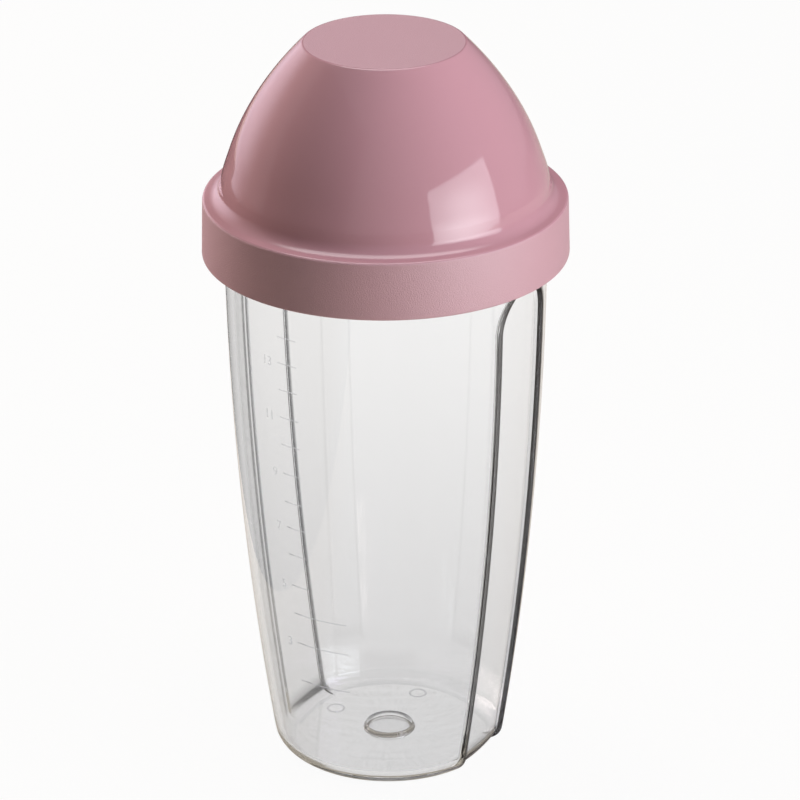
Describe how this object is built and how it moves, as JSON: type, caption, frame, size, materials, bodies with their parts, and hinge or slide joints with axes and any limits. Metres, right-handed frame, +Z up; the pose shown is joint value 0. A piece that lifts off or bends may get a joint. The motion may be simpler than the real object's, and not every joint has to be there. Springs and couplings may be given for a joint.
{
  "type": "shaker cup",
  "caption": "Clear tapering shaker cup with two recessed grip panels, a slotted strainer, a seal ring and a domed opaque screw lid with a flat top.",
  "frame": {"origin": "centre of the flat base, on the surface that the cup stands on", "axes": "+Z up along the cup's axis; +X and -X out of the middles of the two grip panels; +Y completes the right-handed frame"},
  "size_m": [0.09, 0.09, 0.1884],
  "materials": {
    "cup_clear": "clear and polished",
    "lid_pink": "glossy dome and ledge, matte top disc and collar",
    "seal_silicone": "soft and matte",
    "strainer_white": "satin"
  },
  "bodies": {
    "cup": {"cup": "cup_clear"},
    "seal": {"seal_ring": "seal_silicone"},
    "lid": {"lid": "lid_pink"},
    "strainer": {"strainer_insert": "strainer_white"}
  },
  "joints": [
    {"name": "lid_lift", "type": "slide", "parent": "cup", "child": "seal", "axis": [0, 0, 1], "range_m": [0, 0.06]},
    {"name": "lid_turn", "type": "hinge", "parent": "seal", "child": "lid", "pos_m": [0, 0, 0.147], "axis": [0, 0, 1], "range_deg": [0, 900]},
    {"name": "strainer_lift", "type": "slide", "parent": "cup", "child": "strainer", "axis": [0, 0, 1], "range_m": [0, 0.03]}
  ],
  "couplings": [
    {"joint": "lid_lift", "follows": "lid_turn", "m_per_rad": 0.0038197},
    {"joint": "strainer_lift", "follows": "lid_turn", "m_per_rad": 0.0019098}
  ]
}
